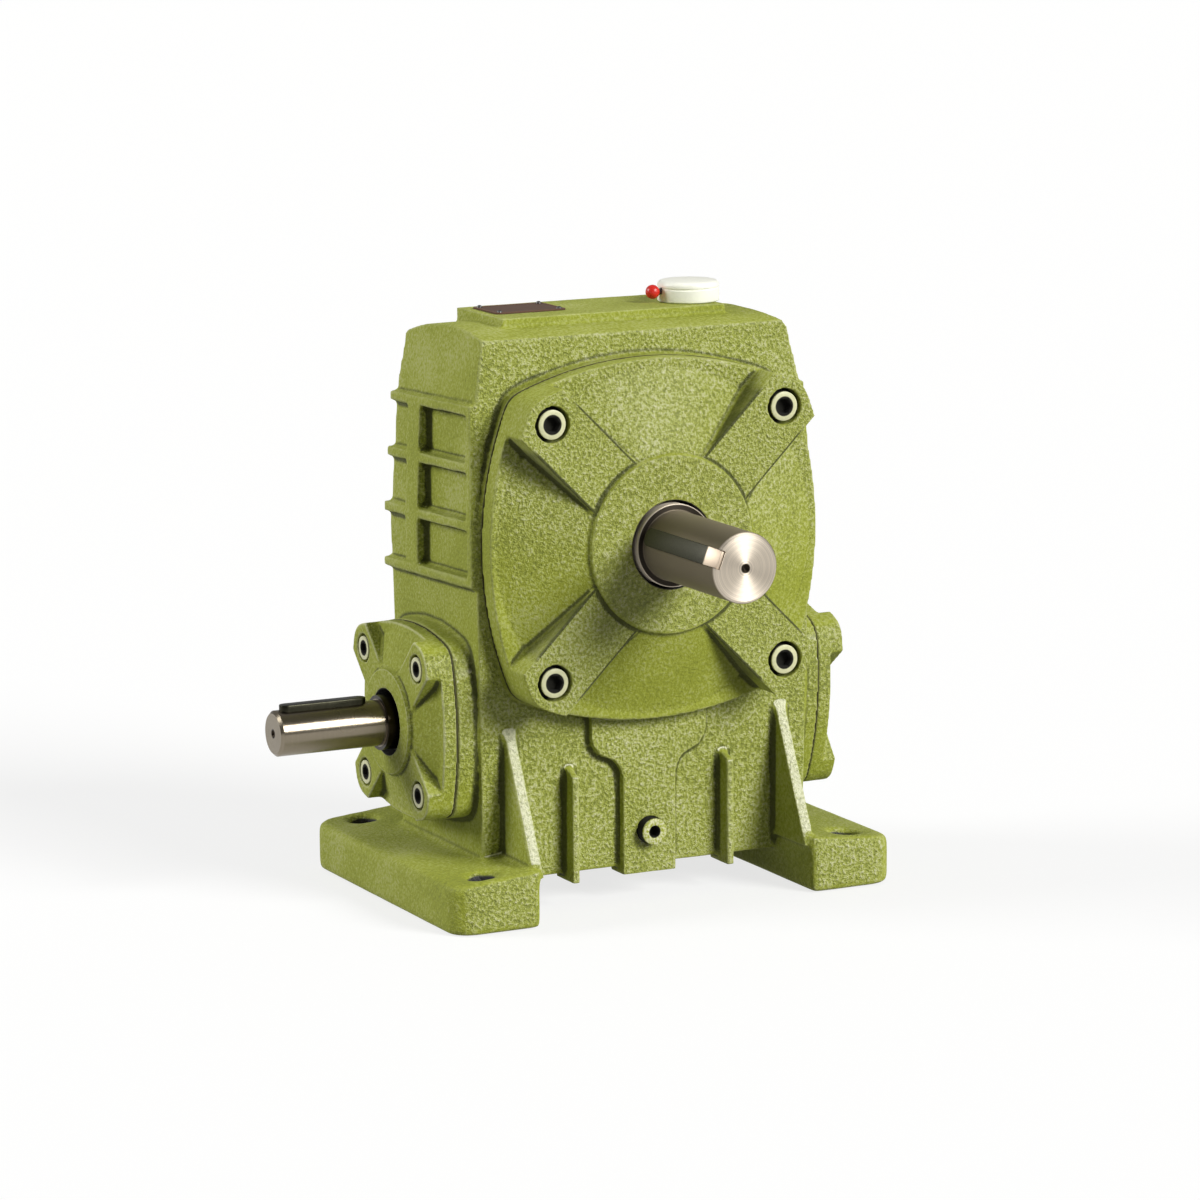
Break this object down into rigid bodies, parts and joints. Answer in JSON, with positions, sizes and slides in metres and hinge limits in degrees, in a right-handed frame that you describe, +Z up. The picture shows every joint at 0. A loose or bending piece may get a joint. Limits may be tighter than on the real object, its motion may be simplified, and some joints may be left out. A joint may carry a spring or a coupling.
{
  "type": "worm gear reducer",
  "caption": "Foot-mounted worm gear reducer with the worm under the wheel: ribbed green housing, domed output cover, keyed input and output shafts at right angles.",
  "frame": {"origin": "middle of the four foot bolt holes, on the plane the feet stand on", "axes": "+Z up; X along the worm with the input shaft towards -X; Y along the wheel's shaft, whose output end points to -Y"},
  "size_m": [0.3299, 0.267, 0.3315],
  "materials": {
    "green_casting": "hammertone paint",
    "painted_screws": "thin paint",
    "hub_iron": "turned",
    "bright_steel": "ground",
    "bearing_steel": "polished",
    "bronze": "machined bronze",
    "seal_rubber": "matt",
    "gasket_paper": "matt",
    "white_plastic": "matt",
    "red_plastic": "gloss",
    "plate_metal": "etched, bare of text"
  },
  "bodies": {
    "housing": {"housing": "green_casting", "output_cover": "green_casting", "output_cover_gasket": "gasket_paper", "output_cover_screws": "painted_screws", "output_seal": "seal_rubber", "rear_closing_cap": "green_casting", "input_cover": "green_casting", "input_cover_shim": "gasket_paper", "input_cover_screws": "painted_screws", "input_seal": "seal_rubber", "blind_cover": "green_casting", "blind_cover_shim": "gasket_paper", "blind_cover_screws": "painted_screws", "drain_plug": "painted_screws", "breather_cap": "white_plastic", "breather_plug": "red_plastic", "nameplate": "plate_metal", "nameplate_rivets": "plate_metal", "worm_input_bearing_cup": "bearing_steel", "worm_far_bearing_cup": "bearing_steel", "output_front_bearing_cup": "bearing_steel", "output_rear_bearing_cup": "bearing_steel"},
    "output_train": {"output_shaft": "bright_steel", "worm_wheel_hub": "hub_iron", "worm_wheel_rim": "bronze", "wheel_key": "bright_steel", "output_key": "bright_steel", "spacer_sleeve": "bright_steel", "output_front_bearing_cone": "bearing_steel", "output_rear_bearing_cone": "bearing_steel"},
    "worm_train": {"worm_shaft": "bright_steel", "input_key": "bright_steel", "worm_input_bearing_cone": "bearing_steel", "worm_far_bearing_cone": "bearing_steel"},
    "worm_input_bearing_set": {"worm_input_bearing_cage": "bearing_steel", "worm_input_bearing_rollers": "bearing_steel"},
    "worm_far_bearing_set": {"worm_far_bearing_cage": "bearing_steel", "worm_far_bearing_rollers": "bearing_steel"},
    "output_front_bearing_set": {"output_front_bearing_cage": "bearing_steel", "output_front_bearing_rollers": "bearing_steel"},
    "output_rear_bearing_set": {"output_rear_bearing_cage": "bearing_steel", "output_rear_bearing_rollers": "bearing_steel"}
  },
  "joints": [
    {"name": "output_spin", "type": "hinge", "parent": "housing", "child": "output_train", "pos_m": [0, 0, 0.2], "axis": [0, 1, 0], "continuous": true},
    {"name": "worm_spin", "type": "hinge", "parent": "housing", "child": "worm_train", "pos_m": [0, 0, 0.1], "axis": [1, 0, 0], "continuous": true},
    {"name": "output_front_cage_spin", "type": "hinge", "parent": "housing", "child": "output_front_bearing_set", "pos_m": [0, 0, 0.2], "axis": [0, 1, 0], "continuous": true},
    {"name": "output_rear_cage_spin", "type": "hinge", "parent": "housing", "child": "output_rear_bearing_set", "pos_m": [0, 0, 0.2], "axis": [0, 1, 0], "continuous": true},
    {"name": "worm_input_cage_spin", "type": "hinge", "parent": "housing", "child": "worm_input_bearing_set", "pos_m": [0, 0, 0.1], "axis": [1, 0, 0], "continuous": true},
    {"name": "worm_far_cage_spin", "type": "hinge", "parent": "housing", "child": "worm_far_bearing_set", "pos_m": [0, 0, 0.1], "axis": [1, 0, 0], "continuous": true}
  ],
  "couplings": [
    {"joint": "worm_spin", "follows": "output_spin", "ratio": 30},
    {"joint": "output_front_cage_spin", "follows": "output_spin", "ratio": 0.438},
    {"joint": "output_rear_cage_spin", "follows": "output_spin", "ratio": 0.438},
    {"joint": "worm_input_cage_spin", "follows": "output_spin", "ratio": 12.51},
    {"joint": "worm_far_cage_spin", "follows": "output_spin", "ratio": 12.51}
  ]
}
